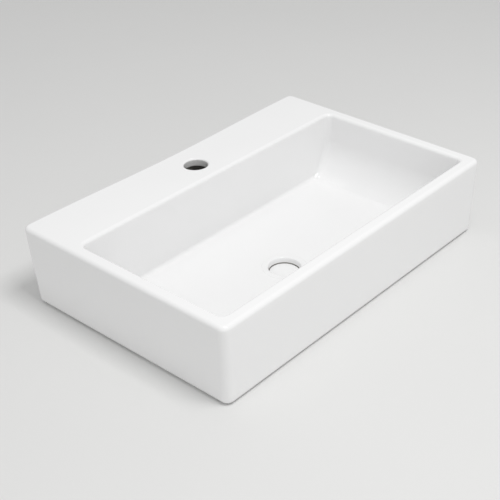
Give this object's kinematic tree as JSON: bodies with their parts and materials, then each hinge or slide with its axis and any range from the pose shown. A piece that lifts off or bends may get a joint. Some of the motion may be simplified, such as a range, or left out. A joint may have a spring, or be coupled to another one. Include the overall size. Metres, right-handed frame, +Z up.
{
  "type": "countertop basin",
  "caption": "Rectangular countertop washbasin in white glazed ceramic with a tap deck along the back, one tap hole, and a push-to-open waste set low in its drain.",
  "frame": {"origin": "on the base plane where the basin sits on the counter, at the middle of the rim's plan outline", "axes": "+X to the user's right along the basin's width, +Y back towards the tap deck, +Z up"},
  "size_m": [0.55, 0.355, 0.1715],
  "materials": {
    "glazed_ceramic": "glossy white glaze on vitreous china, bare ground ceramic under the foot",
    "white_enamelled_brass": "glossy white enamel on a brass waste body",
    "white_enamelled_cap": "glossy white enamel on a brass plug",
    "black_rubber": "moulded rubber, matt",
    "grey_rubber": "moulded silicone rubber, matt",
    "natural_plastic": "natural polyethylene",
    "bare_brass": "turned brass",
    "stainless_steel": "turned stainless steel",
    "white_plastic": "moulded acetal",
    "nickel_brass": "nickel plated brass",
    "latch_plastic": "moulded acetal, tinted",
    "spring_steel": "drawn spring wire"
  },
  "bodies": {
    "basin": {"basin_body": "glazed_ceramic", "flange_seal": "black_rubber", "waste_body": "white_enamelled_brass", "under_washer": "black_rubber", "slip_washer": "natural_plastic", "back_nut": "bare_brass", "cartridge_body": "white_plastic", "cartridge_cap": "nickel_brass", "spring": "spring_steel"},
    "plug": {"plug_cap": "white_enamelled_cap", "plug_seal": "grey_rubber", "plunger": "stainless_steel"},
    "latch": {"latch_ring": "latch_plastic"}
  },
  "joints": [
    {"name": "plug_slide", "type": "slide", "parent": "basin", "child": "plug", "axis": [0, 0, 1], "range_m": [0, 0.009], "deforming": ["spring"]},
    {"name": "latch_turn", "type": "hinge", "parent": "plug", "child": "latch", "pos_m": [0, -0.0405, -0.0288], "axis": [0, 0, 1], "range_deg": [0, 45]}
  ],
  "couplings": [
    {"joint": "latch_turn", "follows": "plug_slide", "rad_per_m": 87.266}
  ]
}
